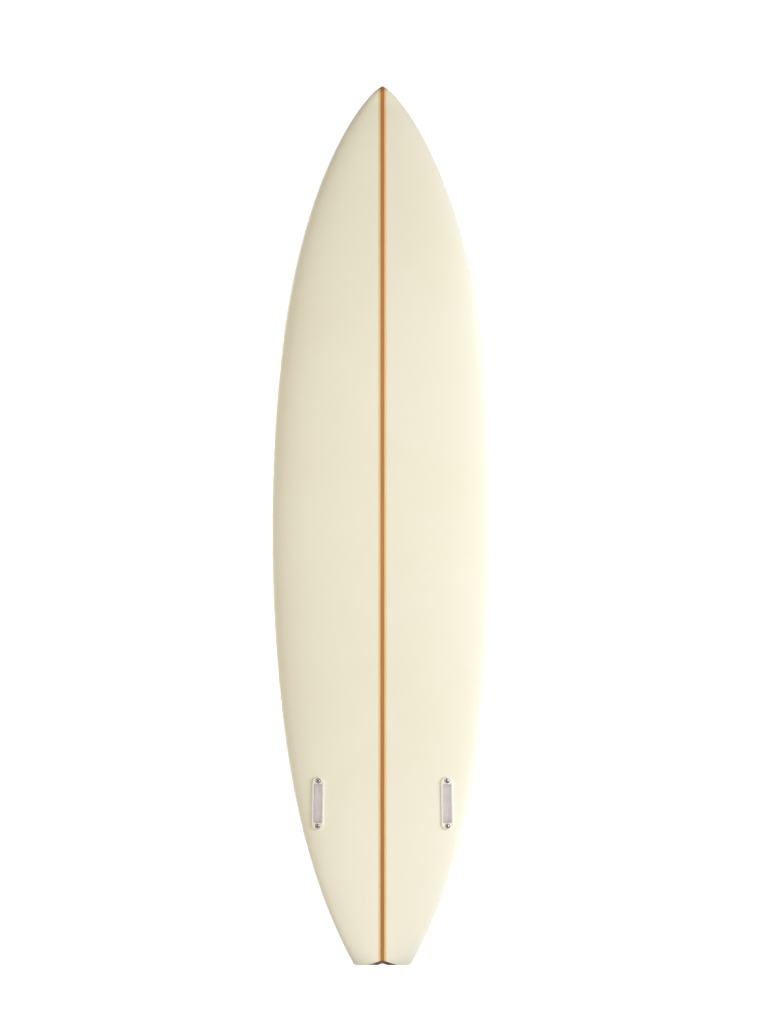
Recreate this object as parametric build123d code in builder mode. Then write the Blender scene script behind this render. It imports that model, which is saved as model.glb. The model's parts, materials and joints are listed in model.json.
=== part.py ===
from build123d import *
import os
from math import cos, radians, sin

os.makedirs("parts", exist_ok=True)

# A twin-fin surfboard, standing on its tail: +Z runs from tail to nose, the bottom faces -Y and
# the deck +Y. The origin is the middle of the tail's end. Left is -X, and front is the nose end.

# Board, in millimetres
LENGTH = 1880.0  # 6 ft 2 in
HALF_WIDTH = 237.0
THICKNESS = 59.0  # 2 5/16 in on the centre line
WIDE_Z = 930.0  # height of the wide and thick point above the tail
LOW_Z = 850.0  # where the bottom touches the ground, were it laid flat
NOSE_ROCKER = 122.0
TAIL_ROCKER = 58.0
TAIL_THICKNESS = 14.0
NOSE_THICKNESS = 9.0
BOTTOM_Y = -TAIL_ROCKER - TAIL_THICKNESS / 2  # the bottom at LOW_Z
SKIN = 0.8  # the glass laminate

# Outline: the half width falls towards the tail by the square and the fifth power of the way there
TAIL_CURVE = 124.0
TAIL_PULL = 53.0
# and towards the nose it falls to nothing, by a square and a higher power inside a root
NOSE_CURVE = 0.62
NOSE_POWER = 3.5
NOSE_ROOT = 0.765

# Rocker and foil: the share of each end's rise that goes by the square, the rest goes by the cube
NOSE_ROCKER_SQUARE = 0.70
NOSE_FOIL_SQUARE = 0.80
TAIL_FOIL_SQUARE = 0.855

# Rails: how far up the thickness the outermost line lies, at the tail and at the nose
TAIL_RAIL = 0.30
NOSE_RAIL = 0.50

# Tail end: squared off with rounded corners and a shallow V, deeper on the bottom side
CORNER_RADIUS = 13.0
CORNER_SPARE = 0.8  # keeps the squaring tool's sides off the rails
CORNER_SLOPE = 0.56
V_HALF_WIDTH = 33.0
V_DEPTH = 9.5
V_DEPTH_DECK = 3.0

# Stringer: a dark core with a pale ply on each side
CORE_WIDTH = 8.0
PLY_WIDTH = 4.8

# The bottom laminate wraps the rails and ends this far in on the deck
LAP = 38.0

# Fin boxes. The depths below are from the flange's face
BOX_X = 138.0
BOX_Z = 346.0
BOX_LENGTH = 114.0
BOX_WIDTH = 26.0
BOX_TOE_IN = 1.2  # degrees, front end towards the stringer
FLANGE_PROUD = 2.0
FLANGE_THICKNESS = 4.0
FLANGE_ROUND = 1.2
WELL_LENGTH = 110.0
WELL_WIDTH = 22.0
WELL_DEPTH = 20.5
SLOT_LENGTH = 84.0
SLOT_WIDTH = 19.0
SLOT_CORNER = 3.0
SLOT_DEPTH = 13.0
SCREW_REACH = 48.6  # from the box's middle to each screw
RECESS_RADIUS = 5.5
RECESS_DEPTH = 4.2
SCREW_HOLE_RADIUS = 3.0
SCREW_HOLE_DEPTH = 19.0

# Threaded inserts, washers and M5 button-head screws
INSERT_RADIUS = 4.0
INSERT_LENGTH = 9.7
INSERT_SUNK = 0.3  # below the recess's floor
INSERT_CHAMFER = 0.5
INSERT_GROOVE = 0.4  # its depth, and the width of each sloping side
INSERT_GROOVE_FLOOR = 1.6
THREAD_RADIUS = 2.5
RUNNING_GAP = 0.05
WASHER_RADIUS = 5.0
WASHER_BORE_RADIUS = 2.65
WASHER_THICKNESS = 1.0
WASHER_ROUND = 0.15
WASHER_GAP = 0.1
SCREW_LENGTH = 12.0
SCREW_CHAMFER = 0.6
HEAD_RADIUS = 4.75
HEAD_RIM = 0.7
HEAD_HEIGHT = 2.75
HEAD_CROWN_RADIUS = 2.25  # the flat round the socket
HEAD_BULGE = (3.95, 1.27)  # where the dome is fullest, out from the axis and up from the rim
SOCKET_ACROSS_FLATS = 3.0
SOCKET_DEPTH = 1.8

# Leash plug in the deck
PLUG_X = 30.0
PLUG_Z = 95.0
PLUG_FLANGE_RADIUS = 15.0
PLUG_FLANGE_THICKNESS = 3.0
PLUG_PROUD = 0.8
PLUG_RADIUS = 12.7
PLUG_DEPTH = 17.0
CUP_RADIUS = 9.5
CUP_DEPTH = 13.5
BAR_RADIUS = 2.0
BAR_LENGTH = 23.0
BAR_DEPTH = 5.0
BAR_CHAMFER = 0.3

# Cross sections, as shares of the way from the wide point to the tail and to the nose
TAIL_SHARES = [1.04, 0.92, 0.78, 0.6, 0.4, 0.2]
NOSE_SHARES = [0.0, 0.22, 0.42, 0.6, 0.75, 0.86, 0.935, 0.975, 0.993]
FAR = 400.0  # past the board's sides
SIDES = {"left": -1, "right": 1}
ENDS = {"front": 1, "rear": -1}


def half_width(z):
    """The outline's half width at height z."""
    if z < WIDE_Z:
        way = (WIDE_Z - z) / WIDE_Z
        return HALF_WIDTH - TAIL_CURVE * way**2 - TAIL_PULL * way**5
    way = (z - WIDE_Z) / (LENGTH - WIDE_Z)
    return HALF_WIDTH * (1 - NOSE_CURVE * way**2 - (1 - NOSE_CURVE) * way**NOSE_POWER) ** NOSE_ROOT


def square_and_cube(way, square):
    return square * way**2 + (1 - square) * way**3


def bottom(z):
    """The bottom's Y on the centre line, which is the rocker."""
    if z < LOW_Z:
        return BOTTOM_Y + TAIL_ROCKER * ((LOW_Z - z) / LOW_Z) ** 2
    way = (z - LOW_Z) / (LENGTH - LOW_Z)
    return BOTTOM_Y + NOSE_ROCKER * square_and_cube(way, NOSE_ROCKER_SQUARE)


def thickness(z):
    """The thickness on the centre line, which is the foil."""
    if z < WIDE_Z:
        thinned = square_and_cube((WIDE_Z - z) / WIDE_Z, TAIL_FOIL_SQUARE)
        return THICKNESS - (THICKNESS - TAIL_THICKNESS) * thinned
    thinned = square_and_cube((z - WIDE_Z) / (LENGTH - WIDE_Z), NOSE_FOIL_SQUARE)
    return THICKNESS - (THICKNESS - NOSE_THICKNESS) * thinned


def cross_section(z, inset):
    """The section at height z: a nearly flat bottom, rolled at the rails, and a domed deck."""
    w = half_width(z) - inset
    low = bottom(z) + inset
    high = bottom(z) + thickness(z) - inset
    rail = bottom(z) + thickness(z) * (TAIL_RAIL + (NOSE_RAIL - TAIL_RAIL) * z / LENGTH)
    up = high - rail
    down = rail - low
    belly = [
        (0, low),
        (0.35 * w, low),
        (0.53 * w, low),
        (0.84 * w, low + 0.11 * down),
        (w, low + 0.5 * down),
        (w, rail),
    ]
    dome = [
        (w, rail),
        (w, rail + 0.42 * up),
        (0.95 * w, rail + 0.78 * up),
        (0.70 * w, rail + 0.96 * up),
        (0.35 * w, high),
        (0, high),
    ]
    quarters = [belly, dome] + [[(-x, y) for x, y in reversed(curve)] for curve in (dome, belly)]
    edges = []
    for quarter in quarters:
        with BuildLine(Plane.XY.offset(z)) as line:
            Bezier(*quarter)
        edges += line.edges()
    return Face(Wire(edges))


def blank(inset):
    """The whole board's form, lofted from tail to nose, then cut square and notched at the tail."""
    heights = [WIDE_Z * (1 - share) for share in TAIL_SHARES]
    heights += [WIDE_Z + (LENGTH - WIDE_Z) * share for share in NOSE_SHARES]
    tip = Vertex(0, bottom(LENGTH) + thickness(LENGTH) / 2, LENGTH - inset)
    corner = half_width(0) + CORNER_SPARE
    side = corner + CORNER_SLOPE * FAR
    slant = (0, TAIL_THICKNESS, V_DEPTH_DECK - V_DEPTH)
    with BuildPart() as form:
        loft(sections=[*(cross_section(z, inset) for z in heights), tip])
        with BuildSketch(Plane.XZ):
            with BuildLine():
                Polyline(
                    (-corner, inset),
                    (corner, inset),
                    (side, FAR),
                    (side, LENGTH + FAR),
                    (-side, LENGTH + FAR),
                    (-side, FAR),
                    close=True,
                )
            template = make_face()
            fillet(template.vertices().group_by(Axis.Y)[0], CORNER_RADIUS)
        extrude(amount=FAR, both=True, mode=Mode.INTERSECT)
        with BuildSketch(Plane.XZ.offset(TAIL_THICKNESS / 2)):
            with BuildLine():
                Polyline(
                    (0, V_DEPTH + inset),
                    (2 * V_HALF_WIDTH, inset - V_DEPTH),
                    (-2 * V_HALF_WIDTH, inset - V_DEPTH),
                    close=True,
                )
            make_face()
        extrude(amount=3 * TAIL_THICKNESS, dir=slant, both=True, mode=Mode.SUBTRACT)
    return form.part


def save(piece, label):
    piece.part.label = label
    export_step(piece.part, f"parts/{label}.step")


outer = blank(0.0)
inner = blank(SKIN)


def surface_plane(x, z, facing, along):
    """A plane on the board's skin at x and z, facing out, with its X along the given direction."""
    hits = outer.find_intersection_points(Axis((x, facing * FAR, z), (0, -facing, 0)))
    point, normal = hits[0]
    along = (along - normal * along.dot(normal)).normalized()
    return Plane(origin=point, x_dir=along, z_dir=normal)


def box_plane(side):
    """The middle of a fin box's flange face. X runs to the box's front, and Z out of the board."""
    toe = radians(BOX_TOE_IN)
    along = Vector(-side * sin(toe), 0, cos(toe))
    return surface_plane(side * BOX_X, BOX_Z, -1, along).offset(FLANGE_PROUD)


BOX_PLANES = {name: box_plane(side) for name, side in SIDES.items()}
PLUG_PLANE = surface_plane(PLUG_X, PLUG_Z, 1, Vector(1, 0, 0)).offset(PLUG_PROUD)


def screw_plane(side_name, end_name, depth):
    """The plane across one screw's axis at a depth below its box's flange face."""
    plane = BOX_PLANES[side_name]
    middle = plane.from_local_coords((ENDS[end_name] * SCREW_REACH, 0, -depth))
    return Plane(origin=middle, x_dir=plane.x_dir, z_dir=plane.z_dir)


def disc(plane, radius, depth, mode=Mode.ADD):
    """A round boss or hole, from a plane down into the board."""
    with BuildSketch(plane) as outline:
        Circle(radius)
    extrude(outline.sketch, amount=-depth, mode=mode)


def pill(plane, length, width, depth, mode=Mode.ADD):
    """A block with round ends along the plane's X, from the plane down into the board."""
    with BuildSketch(plane) as outline:
        SlotOverall(length, width)
    extrude(outline.sketch, amount=-depth, mode=mode)


def box_form(side_name, mode=Mode.ADD):
    """A fin box without its holes, which is also the pocket that it fills."""
    plane = BOX_PLANES[side_name]
    pill(plane, WELL_LENGTH, WELL_WIDTH, WELL_DEPTH, mode)
    pill(plane, BOX_LENGTH, BOX_WIDTH, FLANGE_THICKNESS, mode)


def plug_form(mode=Mode.ADD):
    """The leash plug without its cup, which is also the pocket that it fills."""
    disc(PLUG_PLANE, PLUG_RADIUS, PLUG_DEPTH, mode)
    disc(PLUG_PLANE, PLUG_FLANGE_RADIUS, PLUG_FLANGE_THICKNESS, mode)


def strip(x_low, x_high):
    """Keeps what lies between two X positions."""
    with Locations(((x_low + x_high) / 2, 0, LENGTH / 2)):
        Box(x_high - x_low, 2 * FAR, LENGTH + FAR, mode=Mode.INTERSECT)


# Stringer: the core, and a ply on each side
with BuildPart() as stringer_core:
    add(inner)
    strip(-CORE_WIDTH / 2, CORE_WIDTH / 2)
save(stringer_core, "stringer_core")

PLY_EDGE = CORE_WIDTH / 2 + PLY_WIDTH
for side_name, side in SIDES.items():
    with BuildPart() as stringer_ply:
        add(inner)
        strip(*sorted((side * CORE_WIDTH / 2, side * PLY_EDGE)))
    save(stringer_ply, f"stringer_ply_{side_name}")

# Foam halves, with pockets for the fin boxes and, on the right, for the leash plug
for side_name, side in SIDES.items():
    with BuildPart() as foam:
        add(inner)
        strip(*sorted((side * PLY_EDGE, side * FAR)))
        box_form(side_name, Mode.SUBTRACT)
        if side * PLUG_X > 0:
            plug_form(Mode.SUBTRACT)
    save(foam, f"foam_{side_name}")

# The part of the deck inside the lap line, through the deck's half of the thickness only
LAP_HEIGHTS = [LAP, 150, 300, 500, 700, 930, 1150, 1350, 1500, 1620, 1720, 1790]
MIDDLE_HEIGHTS = [-100, 100, 350, 650, 950, 1250, 1500, 1700, LENGTH]
with BuildPart() as deck_inside_lap:
    with BuildSketch(Plane.XZ):
        with BuildLine():
            edge = Spline(*[(half_width(z) - LAP, z) for z in LAP_HEIGHTS], (0, LENGTH - LAP))
            Line(edge @ 0, (0, LAP))
            mirror(about=Plane.YZ)
        make_face()
    extrude(amount=FAR, both=True)
    with BuildSketch(Plane.YZ):
        with BuildLine():
            middle = Spline(*[(bottom(z) + thickness(z) / 2, z) for z in MIDDLE_HEIGHTS])
            Polyline(middle @ 1, (FAR, LENGTH), (FAR, MIDDLE_HEIGHTS[0]), middle @ 0)
        make_face()
    extrude(amount=FAR, both=True, mode=Mode.INTERSECT)

with BuildPart() as deck_laminate:
    add(outer)
    add(inner, mode=Mode.SUBTRACT)
    add(deck_inside_lap.part, mode=Mode.INTERSECT)
    plug_form(Mode.SUBTRACT)
save(deck_laminate, "deck_laminate")

with BuildPart() as bottom_laminate:
    add(outer)
    add(inner, mode=Mode.SUBTRACT)
    add(deck_inside_lap.part, mode=Mode.SUBTRACT)
    for side_name in SIDES:
        box_form(side_name, Mode.SUBTRACT)
save(bottom_laminate, "bottom_laminate")

# Fin boxes: a flanged housing with a slot for the fin's base and a recessed screw hole at each end
for side_name in SIDES:
    plane = BOX_PLANES[side_name]
    with BuildPart() as fin_box:
        box_form(side_name)
        rim = fin_box.faces().sort_by(Axis(plane.origin, plane.z_dir))[-1]
        fillet(rim.edges(), FLANGE_ROUND)
        with BuildSketch(plane):
            RectangleRounded(SLOT_LENGTH, SLOT_WIDTH, SLOT_CORNER)
        extrude(amount=-SLOT_DEPTH, mode=Mode.SUBTRACT)
        for end_name in ENDS:
            hole = screw_plane(side_name, end_name, 0)
            disc(hole, RECESS_RADIUS, RECESS_DEPTH, Mode.SUBTRACT)
            disc(hole, INSERT_RADIUS, RECESS_DEPTH + INSERT_SUNK + INSERT_LENGTH, Mode.SUBTRACT)
            disc(hole, SCREW_HOLE_RADIUS, SCREW_HOLE_DEPTH, Mode.SUBTRACT)
    save(fin_box, f"fin_box_{side_name}")

# At each end of each box: a threaded insert, a washer and a button-head screw. Each is turned
# about its own axis, with its heights measured out of the board from the recess's floor.
insert_top = -INSERT_SUNK
insert_foot = insert_top - INSERT_LENGTH
groove = INSERT_RADIUS - INSERT_GROOVE
groove_foot = (insert_top + insert_foot - INSERT_GROOVE_FLOOR) / 2
groove_top = groove_foot + INSERT_GROOVE_FLOOR
washer_foot = WASHER_GAP
head_foot = washer_foot + WASHER_THICKNESS + RUNNING_GAP
head_rim = head_foot + HEAD_RIM
head_top = head_foot + HEAD_HEIGHT
shank = THREAD_RADIUS - RUNNING_GAP
shank_foot = head_foot - SCREW_LENGTH

for side_name in SIDES:
    for end_name in ENDS:
        place = f"{side_name}_{end_name}"
        floor = screw_plane(side_name, end_name, RECESS_DEPTH)
        turning = Plane(origin=floor.origin, x_dir=floor.x_dir, z_dir=-floor.y_dir)

        with BuildPart() as fin_insert:
            with BuildSketch(turning):
                with BuildLine():
                    Polyline(
                        (THREAD_RADIUS, insert_foot),
                        (INSERT_RADIUS - INSERT_CHAMFER, insert_foot),
                        (INSERT_RADIUS, insert_foot + INSERT_CHAMFER),
                        (INSERT_RADIUS, groove_foot - INSERT_GROOVE),
                        (groove, groove_foot),
                        (groove, groove_top),
                        (INSERT_RADIUS, groove_top + INSERT_GROOVE),
                        (INSERT_RADIUS, insert_top),
                        (THREAD_RADIUS + INSERT_CHAMFER, insert_top),
                        (THREAD_RADIUS, insert_top - INSERT_CHAMFER),
                        close=True,
                    )
                make_face()
            revolve(axis=Axis(floor.origin, floor.z_dir))
        save(fin_insert, f"fin_insert_{place}")

        with BuildPart() as fin_washer:
            with BuildSketch(floor.offset(washer_foot)):
                Circle(WASHER_RADIUS)
                Circle(WASHER_BORE_RADIUS, mode=Mode.SUBTRACT)
            extrude(amount=WASHER_THICKNESS)
            fillet(fin_washer.edges().group_by(SortBy.LENGTH)[-1], WASHER_ROUND)
        save(fin_washer, f"fin_washer_{place}")

        with BuildPart() as fin_screw:
            with BuildSketch(turning):
                with BuildLine():
                    dome_start = (HEAD_RADIUS, head_rim)
                    dome_middle = (HEAD_BULGE[0], head_rim + HEAD_BULGE[1])
                    dome_end = (HEAD_CROWN_RADIUS, head_top)
                    ThreePointArc(dome_start, dome_middle, dome_end)
                    Polyline(
                        dome_end,
                        (0, head_top),
                        (0, shank_foot),
                        (shank - SCREW_CHAMFER, shank_foot),
                        (shank, shank_foot + SCREW_CHAMFER),
                        (shank, head_foot),
                        (HEAD_RADIUS, head_foot),
                        dome_start,
                    )
                make_face()
            revolve(axis=Axis(floor.origin, floor.z_dir))
            with BuildSketch(floor.offset(head_top)):
                RegularPolygon(SOCKET_ACROSS_FLATS / 2, 6, major_radius=False)
            extrude(amount=-SOCKET_DEPTH, mode=Mode.SUBTRACT)
        save(fin_screw, f"fin_screw_{place}")

# Leash plug: a flanged cup with a round hollow, and the bar that crosses it
bar_plane = PLUG_PLANE.offset(-BAR_DEPTH)
bar_ends = Plane(origin=bar_plane.origin, x_dir=bar_plane.y_dir, z_dir=bar_plane.x_dir)
with BuildPart() as leash_plug:
    plug_form()
    disc(PLUG_PLANE, CUP_RADIUS, CUP_DEPTH, Mode.SUBTRACT)
    with BuildSketch(bar_ends):
        Circle(BAR_RADIUS)
    extrude(amount=BAR_LENGTH / 2, both=True, mode=Mode.SUBTRACT)
save(leash_plug, "leash_plug")

with BuildPart() as leash_bar:
    with BuildSketch(bar_ends):
        Circle(BAR_RADIUS)
    extrude(amount=BAR_LENGTH / 2, both=True)
    chamfer(leash_bar.edges().filter_by(GeomType.CIRCLE), BAR_CHAMFER)
save(leash_bar, "leash_bar")
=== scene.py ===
import json
import math

import bmesh
import bpy
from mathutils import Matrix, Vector


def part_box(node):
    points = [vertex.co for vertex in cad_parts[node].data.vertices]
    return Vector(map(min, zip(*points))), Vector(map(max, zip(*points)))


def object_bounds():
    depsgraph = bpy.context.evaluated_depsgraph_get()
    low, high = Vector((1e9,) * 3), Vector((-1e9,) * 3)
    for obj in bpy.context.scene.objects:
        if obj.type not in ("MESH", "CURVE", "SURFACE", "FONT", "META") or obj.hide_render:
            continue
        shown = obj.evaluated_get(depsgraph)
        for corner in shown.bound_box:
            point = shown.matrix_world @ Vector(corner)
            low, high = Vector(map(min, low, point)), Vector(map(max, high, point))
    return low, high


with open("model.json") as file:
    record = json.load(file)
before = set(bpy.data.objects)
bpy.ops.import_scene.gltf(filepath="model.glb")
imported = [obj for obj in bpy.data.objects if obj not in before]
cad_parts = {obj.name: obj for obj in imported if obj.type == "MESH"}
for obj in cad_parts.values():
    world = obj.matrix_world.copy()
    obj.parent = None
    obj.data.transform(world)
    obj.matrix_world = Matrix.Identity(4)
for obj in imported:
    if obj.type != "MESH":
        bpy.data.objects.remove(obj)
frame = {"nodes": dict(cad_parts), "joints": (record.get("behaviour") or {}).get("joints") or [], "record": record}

CAD_LOW, CAD_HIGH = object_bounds()
NODES = frame["nodes"]
SIDES = ("left", "right")
ENDS = ("front", "rear")

# All lengths are in metres. The board stands nose up, and its bottom faces -Y.
CORE_HALF = (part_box("stringer_core")[1].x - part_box("stringer_core")[0].x) / 2
STRINGER_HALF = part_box("stringer_ply_right")[1].x
NOSE_Z = CAD_HIGH.z
SEAM = 0.0002  # half the width over which one layer's colour gives way to the next
NOTCH_HALF = 0.034  # the tail's notch, out from the stringer
NOTCH_TOP = 0.013
SOCKET_CORNERS = 0.00172  # a screw's hex socket, out from the screw's axis
HEAD_TOP = 0.0039  # above the recess's floor, where the screw's joint is

# How fine the patterns are: for noise, about how many grains there are to a metre
WEAVE = 5200.0  # radians a metre, for a thread each 1.2 mm
TURNING_MARKS = 6500.0
FIBRES = (1700.0, 300.0, 17.0)  # across, through and along the board
FIGURE = (260.0, 60.0, 4.0)
CLOUDS = 5.5
CELLS = 900.0
FOAM_BLOTCHES = 700.0
ORANGE_PEEL = 46.0
POLISH = 14.0
MOULD_PATCHES = 60.0
MOULD_WEAR = 140.0
MOULD_SPARK = 2600.0
TARNISH = 420.0

# How deep the bumps are
PEEL_DEPTH = 0.0004
SPARK_DEPTH = 0.00004
TURNING_DEPTH = 0.00003
CELL_DEPTH = 0.0002
FIBRE_DEPTH = 0.0001


# ---------------------------------------------------------------- materials
class Nodes:
    """A node tree, built one node at a time. The methods return an output socket."""

    def __init__(self, tree, coordinates):
        self.tree = tree
        self.place = self.node("ShaderNodeTexCoord").outputs[coordinates]

    def node(self, kind, **settings):
        made = self.tree.nodes.new(kind)
        for key, value in settings.items():
            setattr(made, key, value)
        return made

    def feed(self, socket, value):
        """Link an output socket to an input socket, or set the input to a value."""
        if isinstance(value, bpy.types.NodeSocket):
            self.tree.links.new(value, socket)
        else:
            socket.default_value = value

    def math(self, operation, a, b=0.0):
        made = self.node("ShaderNodeMath", operation=operation)
        for socket, value in zip(made.inputs, (a, b)):
            self.feed(socket, value)
        return made.outputs[0]

    def axes(self):
        """The place's x, y and z."""
        made = self.node("ShaderNodeSeparateXYZ")
        self.feed(made.inputs[0], self.place)
        return made.outputs

    def stretched(self, scales):
        made = self.node("ShaderNodeMapping")
        self.feed(made.inputs["Vector"], self.place)
        made.inputs["Scale"].default_value = scales
        return made.outputs[0]

    def noise(self, scale, detail, roughness, vector=None):
        made = self.node("ShaderNodeTexNoise")
        self.feed(made.inputs["Vector"], vector or self.place)
        made.inputs["Scale"].default_value = scale
        made.inputs["Detail"].default_value = detail
        made.inputs["Roughness"].default_value = roughness
        return made.outputs["Fac"]

    def ranged(self, value, low, high, to_low=0.0, to_high=1.0):
        """A smooth step from to_low, where the value is low, to to_high, where it is high."""
        made = self.node("ShaderNodeMapRange", interpolation_type="SMOOTHSTEP")
        for socket, given in zip(made.inputs, (value, low, high, to_low, to_high)):
            self.feed(socket, given)
        return made.outputs[0]

    def mix(self, factor, a, b, kind="MIX"):
        made = self.node("ShaderNodeMix", data_type="RGBA", blend_type=kind)
        self.feed(made.inputs["Factor"], factor)
        for socket, value in zip([s for s in made.inputs if s.type == "RGBA"], (a, b)):
            self.feed(socket, value)
        return next(s for s in made.outputs if s.type == "RGBA")

    def length(self, parts):
        """How long a flat vector with these two parts is."""
        squares = (self.math("MULTIPLY", part, part) for part in parts)
        return self.math("SQRT", self.math("ADD", *squares))

    def vector(self, operation, a, b=(0, 0, 0), scale=None):
        made = self.node("ShaderNodeVectorMath", operation=operation)
        self.feed(made.inputs[0], a)
        self.feed(made.inputs[1], b)
        if scale is not None:
            self.feed(made.inputs["Scale"], scale)
        return made.outputs["Value" if operation in ("DOT_PRODUCT", "LENGTH") else "Vector"]

    def above(self, point, axis):
        """How far along an axis the place is from a point."""
        return self.vector("DOT_PRODUCT", self.vector("SUBTRACT", self.place, point), axis)

    def out_from(self, point, axis):
        """How far out from an axis through a point the place is."""
        offset = self.vector("SUBTRACT", self.place, point)
        on_axis = self.vector("SCALE", axis, scale=self.above(point, axis))
        return self.vector("LENGTH", self.vector("SUBTRACT", offset, on_axis))

    def bump(self, height, distance, strength):
        made = self.node("ShaderNodeBump")
        self.feed(made.inputs["Height"], height)
        made.inputs["Distance"].default_value = distance
        made.inputs["Strength"].default_value = strength
        return made.outputs[0]


class Shader(Nodes):
    """A node material. Its sockets are named with underscores in place of spaces."""

    def __init__(self, name, **constants):
        self.material = bpy.data.materials.new(name)
        self.material.use_nodes = True
        super().__init__(self.material.node_tree, "Object")
        self.surface = self.tree.nodes["Principled BSDF"]
        self.finish(**constants)

    def finish(self, **inputs):
        for socket, value in inputs.items():
            self.feed(self.surface.inputs[socket.replace("_", " ")], value)
        return self.material

    def fibres(self):
        """Wood's fibres, long along the board."""
        return self.noise(1.0, 4.0, 0.62, self.stretched(FIBRES))

    def turning_marks(self, radius, height):
        """Fine rings round an axis."""
        made = self.node("ShaderNodeCombineXYZ")
        self.feed(made.inputs[0], self.math("MULTIPLY", radius, TURNING_MARKS))
        self.feed(made.inputs[1], self.math("MULTIPLY", height, TURNING_MARKS))
        return self.noise(1.0, 3.0, 0.6, made.outputs[0])

    def mould_patches(self):
        return self.ranged(self.noise(MOULD_PATCHES, 3.0, 0.6), 0.3, 0.7)

    def mould_wear(self, low, high):
        return self.ranged(self.noise(MOULD_WEAR, 3.0, 0.6), 0.3, 0.7, low, high)

    def mould_spark(self):
        """The fine texture a spark-eroded mould leaves."""
        return self.bump(self.noise(MOULD_SPARK, 2.0, 0.6), SPARK_DEPTH, 0.6)


def colour(red, green, blue):
    return (red, green, blue, 1.0)


WHITE = colour(1, 1, 1)


def glassed_board(name, foam_pale, foam_deep):
    """Foam and a wood stringer seen through clear glass cloth and a gloss coat of resin."""
    s = Shader(name, IOR=1.5, Coat_Weight=0.6, Coat_Roughness=0.08, Coat_IOR=1.5)
    x, _, z = s.axes()
    out = s.math("ABSOLUTE", x)

    # Foam: slow clouds of tint, painted paler towards the tail as painted light, and fine closed cells
    foam = s.mix(s.ranged(s.noise(CLOUDS, 3.0, 0.55), 0.3, 0.7), foam_pale, foam_deep)
    # Painted light: the foam is mixed half way to a paler cream towards the tail, for the brighter light there
    foam = s.mix(s.ranged(z, 0.05, 0.6, 0.5, 0.0), foam, colour(0.93, 0.90, 0.76))
    cells = s.mix(s.noise(CELLS, 1.0, 0.5), colour(0.2, 0.2, 0.2), WHITE)
    foam = s.mix(0.05, foam, cells, "MULTIPLY")

    # Glass cloth: a plain weave that nearly vanishes under the resin
    across = s.math("SINE", s.math("MULTIPLY", x, WEAVE))
    along = s.math("SINE", s.math("MULTIPLY", z, WEAVE))
    weave = s.math("MULTIPLY", across, along)
    foam = s.mix(s.ranged(weave, -1.0, 1.0, 0.0, 0.035), foam, colour(1, 1, 0.97))

    # Cedar core: streaked, redder towards the nose and darker towards the tail
    fibres = s.fibres()
    cedar = s.mix(
        s.ranged(fibres, 0.25, 0.75),
        colour(0.335, 0.108, 0.005),
        colour(0.575, 0.225, 0.024),
    )
    figure = s.noise(1.0, 2.0, 0.5, s.stretched(FIGURE))
    cedar = s.mix(s.ranged(figure, 0.35, 0.7, 0.0, 0.5), cedar, colour(0.50, 0.195, 0.014))
    cedar = s.mix(s.ranged(z, 0.9, 1.85, 0.0, 0.9), cedar, colour(0.48, 0.155, 0.004))
    cedar = s.mix(s.ranged(z, 0.1, 0.7, 0.45, 0.0), cedar, colour(0.36, 0.125, 0.010))

    # Basswood plies, with a dark glue line between each and the core
    basswood = s.mix(
        s.ranged(fibres, 0.2, 0.8), colour(0.72, 0.48, 0.21), colour(0.90, 0.69, 0.37)
    )
    from_seam = s.math("ABSOLUTE", s.math("SUBTRACT", out, CORE_HALF))
    glue = s.ranged(from_seam, 0.0001, 0.0006, 0.55, 0.0)
    in_stringer = s.ranged(out, STRINGER_HALF - SEAM, STRINGER_HALF + SEAM, 1.0, 0.0)
    in_core = s.ranged(out, CORE_HALF - SEAM, CORE_HALF + SEAM, 1.0, 0.0)
    seen = s.mix(in_stringer, foam, basswood)
    seen = s.mix(in_core, seen, cedar)
    seen = s.mix(s.math("MULTIPLY", glue, in_stringer), seen, colour(0.20, 0.09, 0.03))

    # Ends: painted shade at both. The nose's tip is painted a darker tan, and the tail's notch is painted dark
    # where it faces down
    tip_shade = s.ranged(z, NOSE_Z - 0.010, NOSE_Z - 0.003, 0.0, 0.7)
    seen = s.mix(tip_shade, seen, colour(0.36, 0.22, 0.10))
    facing = s.node("ShaderNodeNewGeometry").outputs["Normal"]
    down = s.ranged(s.vector("DOT_PRODUCT", facing, (0, 0, -1)), 0.45, 0.8)
    # Painted shade in the notch: darkest at the stringer and fading out towards the notch's ends
    notch_shade = s.math("MULTIPLY", down, s.ranged(out, 0.004, NOTCH_HALF, 0.88, 0.2))
    in_notch = s.ranged(z, NOTCH_TOP - 0.001, NOTCH_TOP + 0.001, 1.0, 0.0)
    seen = s.mix(s.math("MULTIPLY", notch_shade, in_notch), seen, colour(0.15, 0.085, 0.03))

    # Resin: sanded and polished, with a faint orange peel
    peel = s.bump(s.noise(ORANGE_PEEL, 2.0, 0.5), PEEL_DEPTH, 0.5)
    rough = s.ranged(s.noise(POLISH, 5.0, 0.7), 0.3, 0.7, 0.30, 0.42)
    return s.finish(Base_Color=seen, Roughness=rough, Normal=peel, Coat_Normal=peel)


def moulded(name, base, fleck):
    """Injection-moulded plastic: a little uneven in tint, with a fine spark texture."""
    s = Shader(name, IOR=1.49)
    tint = s.mix(s.mould_patches(), base, fleck)
    return s.finish(Base_Color=tint, Roughness=s.mould_wear(0.31, 0.44), Normal=s.mould_spark())


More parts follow.
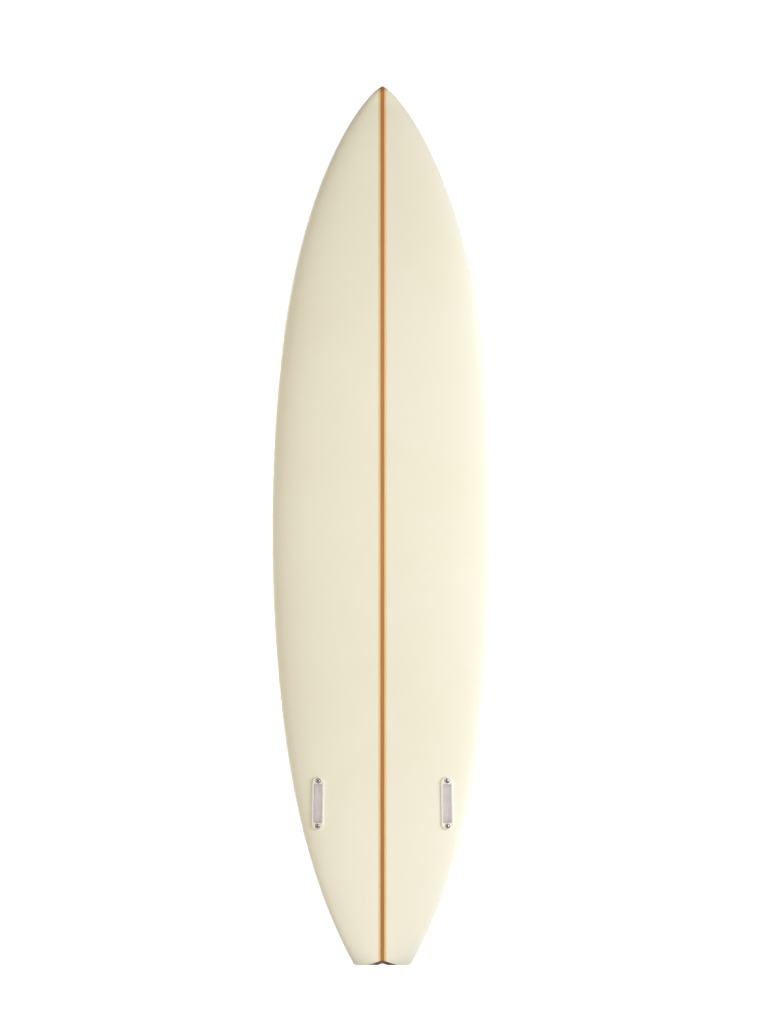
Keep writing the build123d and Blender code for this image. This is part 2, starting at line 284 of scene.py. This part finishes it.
def turned_metal(name, point, axis, base, dark, roughness, has_socket=False):
    """Machined metal: fine rings round its axis, a little tarnish, painted shade in a hex socket and darker round
    its mouth.
    """
    s = Shader(name, Metallic=1.0)
    radius, height = s.out_from(point, axis), s.above(point, axis)
    marks = s.turning_marks(radius, height)
    tint = s.mix(s.ranged(s.noise(TARNISH, 4.0, 0.65), 0.42, 0.72), base, dark)
    rough = s.ranged(marks, 0.3, 0.7, roughness - 0.06, roughness + 0.12)
    if has_socket:
        # Painted shade: a hex socket's inside is painted near black, and the head's top is painted darker round
        # the socket's mouth
        smeared = s.ranged(radius, SOCKET_CORNERS, SOCKET_CORNERS + 0.0008, 0.75, 0.0)
        socket_mouth_darkening = s.math("MULTIPLY", smeared, s.ranged(height, 0.002, 0.0025))
        within = s.ranged(radius, SOCKET_CORNERS, SOCKET_CORNERS + 0.0001, 1.0, 0.0)
        sunk = s.ranged(height, HEAD_TOP - 0.0002, HEAD_TOP, 1.0, 0.0)
        inside = s.math("MULTIPLY", within, sunk)
        tint = s.mix(s.math("MAXIMUM", inside, socket_mouth_darkening), tint, colour(0.035, 0.03, 0.028))
        rough = s.math("MAXIMUM", rough, s.math("MULTIPLY", inside, 0.6))
    return s.finish(Base_Color=tint, Roughness=rough, Normal=s.bump(marks, TURNING_DEPTH, 0.5))


def glassed_box(name, mouth, outward):
    """A fin box: its flange is under the board's resin, and inside the slot its plastic is bare."""
    s = Shader(name, IOR=1.49)
    height = s.above(mouth, outward)
    patches = s.mould_patches()
    plastic = s.mix(patches, colour(0.80, 0.765, 0.80), colour(0.84, 0.81, 0.82))
    resin = s.mix(patches, colour(0.84, 0.80, 0.67), colour(0.87, 0.83, 0.70))
    bare = s.ranged(height, -0.0020, -0.0008, 1.0, 0.0)
    tint = s.mix(bare, resin, plastic)

    # Slightly darker in a brownish tone, most of it just inside the slot's edge
    rising = s.ranged(height, -0.0012, -0.0003)
    falling = s.ranged(height, -0.0003, 0.0004, 1.0, 0.0)
    edge = s.math("MULTIPLY", s.math("MULTIPLY", rising, falling), 0.12)
    tint = s.mix(edge, tint, colour(0.55, 0.50, 0.42))
    rough = s.math("ADD", s.mould_wear(0.28, 0.38), s.math("MULTIPLY", bare, 0.12))
    return s.finish(Base_Color=tint, Roughness=rough, Normal=s.mould_spark())


def bare_foam(name):
    s = Shader(name, Roughness=0.9)
    blotches = s.noise(FOAM_BLOTCHES, 2.0, 0.6)
    tint = s.mix(blotches, colour(0.80, 0.76, 0.62), colour(0.92, 0.89, 0.78))
    return s.finish(Base_Color=tint, Normal=s.bump(s.noise(CELLS, 2.0, 0.6), CELL_DEPTH, 0.6))


def bare_wood(name, dark, pale):
    s = Shader(name, Roughness=0.62)
    fibres = s.fibres()
    tint = s.mix(s.ranged(fibres, 0.25, 0.75), dark, pale)
    return s.finish(Base_Color=tint, Normal=s.bump(fibres, FIBRE_DEPTH, 0.5))


# Each material goes to the pieces whose names start with its key, and the longest key wins
PALE_FOAM, DEEP_FOAM = colour(0.865, 0.83, 0.665), colour(0.85, 0.81, 0.635)
STEEL, DARK_STEEL = colour(0.64, 0.63, 0.62), colour(0.42, 0.41, 0.40)
BRASS, DARK_BRASS = colour(0.80, 0.60, 0.28), colour(0.55, 0.38, 0.16)
METALS = {
    "screw": ("steel", STEEL, DARK_STEEL, 0.2),
    "washer": ("steel", STEEL, DARK_STEEL, 0.3),
    "insert": ("brass", BRASS, DARK_BRASS, 0.34),
}
mounts = {mount["name"]: mount for mount in frame["record"]["mounts"]}
joints = {joint["name"]: joint for joint in frame["joints"]}
bar = mounts["leash_bar_loop"]["pos_m"], (0, 0, 1)
finishes = {
    "bottom_laminate": glassed_board("glassed_bottom", PALE_FOAM, DEEP_FOAM),
    "deck_laminate": glassed_board("glassed_deck", colour(0.87, 0.84, 0.69), PALE_FOAM),
    "foam": bare_foam("foam"),
    "stringer_core": bare_wood("cedar", colour(0.30, 0.14, 0.05), colour(0.56, 0.30, 0.12)),
    "stringer_ply": bare_wood("basswood", colour(0.72, 0.55, 0.33), colour(0.88, 0.74, 0.50)),
    "leash_plug": moulded("plug_plastic", colour(0.80, 0.79, 0.75), colour(0.84, 0.83, 0.80)),
    "leash_bar": turned_metal("bar_steel", *bar, STEEL, DARK_STEEL, 0.2),
}
for side in SIDES:
    fin_slot = mounts[f"fin_slot_{side}"]
    finishes[f"fin_box_{side}"] = glassed_box(f"box_{side}", fin_slot["pos_m"], fin_slot["axis"])
    for end in ENDS:
        place = f"{side}_{end}"
        turn = joints[f"screw_{place}_turn"]
        for piece, (metal, *finish) in METALS.items():
            finishes[f"fin_{piece}_{place}"] = turned_metal(
                f"{piece}_{metal}_{place}",
                turn["pos_m"],
                turn["axis"],
                *finish,
                has_socket=piece == "screw",
            )
for name, node in NODES.items():
    nearest = max((key for key in finishes if name.startswith(key)), key=len)
    for slot in node.material_slots:
        slot.material = finishes[nearest]


# ------------------------------------------------------------ floor and light
FLOOR_RADIUS = 60.0
CONTACT_HALF = (0.060, 0.024)  # the soft shadow where the tail meets the floor
floor_mesh = bpy.data.meshes.new("floor")
form = bmesh.new()
bmesh.ops.create_circle(form, cap_ends=True, radius=FLOOR_RADIUS, segments=96)
form.to_mesh(floor_mesh)
form.free()
floor = bpy.data.objects.new("floor", floor_mesh)
bpy.context.scene.collection.objects.link(floor)

# Floor and world glow, and are white to the camera. On the board they shine from ahead and from
# behind far more than from the sides, which leaves the rails' shading.
paper = Shader(
    "floor_paper", Roughness=0.9, Base_Color=colour(0.25, 0.25, 0.25), Specular_IOR_Level=0.0
)
plan = paper.axes()[:2]
ahead = paper.math("DIVIDE", paper.math("ABSOLUTE", plan[1]), paper.length(plan))
ahead = paper.math("POWER", ahead, 2.0)
glow = paper.mix(ahead, colour(0.10, 0.095, 0.085), colour(0.75, 0.695, 0.60))
direct = paper.node("ShaderNodeLightPath").outputs["Is Camera Ray"]
shares = [paper.math("DIVIDE", part, half) for part, half in zip(plan, CONTACT_HALF)]
paper.finish(
    Emission_Color=paper.mix(direct, glow, WHITE),
    Emission_Strength=paper.ranged(paper.length(shares), 0.1, 1.15, 0.5, 1.0),
)
floor_mesh.materials.append(paper.material)

world = bpy.data.worlds.new("studio")
bpy.context.scene.world = world
world.use_nodes = True
sky = Nodes(world.node_tree, "Generated")
behind = sky.axes()[1]
front = sky.math("POWER", sky.math("MAXIMUM", sky.math("MULTIPLY", behind, -1.0), 0.0), 3.0)
room = sky.mix(front, colour(0.15, 0.145, 0.135), colour(1.44, 1.33, 1.13))
room = sky.mix(sky.ranged(behind, 0.3, 0.8), room, colour(1.15, 1.14, 1.12))
direct = sky.node("ShaderNodeLightPath").outputs["Is Camera Ray"]
background = world.node_tree.nodes["Background"]
sky.feed(background.inputs["Color"], sky.mix(direct, room, colour(1.05, 1.05, 1.05)))


def softbox(name, place, aim, width, height, power, tint=(1, 1, 1)):
    lamp = bpy.data.lights.new(name, "AREA")
    lamp.shape = "RECTANGLE"
    lamp.size, lamp.size_y = width, height
    lamp.energy = power
    lamp.color = tint
    made = bpy.data.objects.new(name, lamp)
    bpy.context.scene.collection.objects.link(made)
    made.location = place
    made.rotation_euler = (Vector(aim) - Vector(place)).to_track_quat("-Z", "Y").to_euler()


MIDDLE = (CAD_LOW + CAD_HIGH) / 2
KEY_HEIGHT = 0.88
KEY_TINT = (0.785, 0.845, 1.0)
softbox("key", (3.31, -1.54, KEY_HEIGHT), (0, 0, KEY_HEIGHT), 1.6, 1.7, 136.0, KEY_TINT)
softbox("rim", (-3.2, 0.9, 1.0), MIDDLE, 0.8, 1.9, 80.0)

# ------------------------------------------------------------------- camera
DISTANCE = 40.0  # far off, for a view with next to no perspective, as in the photo
VIEW_HEIGHT = 2.189
VIEW_X, VIEW_Z = 0.0034, 0.9684
SENSOR = 36.0  # millimetres, as the lens is
camera_data = bpy.data.cameras.new("camera")
camera = bpy.data.objects.new("camera", camera_data)
bpy.context.scene.collection.objects.link(camera)
camera_data.sensor_width = SENSOR
camera_data.lens = SENSOR * DISTANCE / VIEW_HEIGHT
camera_data.clip_end = 4 * DISTANCE
camera.location = (VIEW_X, -DISTANCE, VIEW_Z)
camera.rotation_euler = (math.radians(90), 0, 0)
bpy.context.scene.camera = camera
bpy.context.scene.view_settings.view_transform = "Standard"
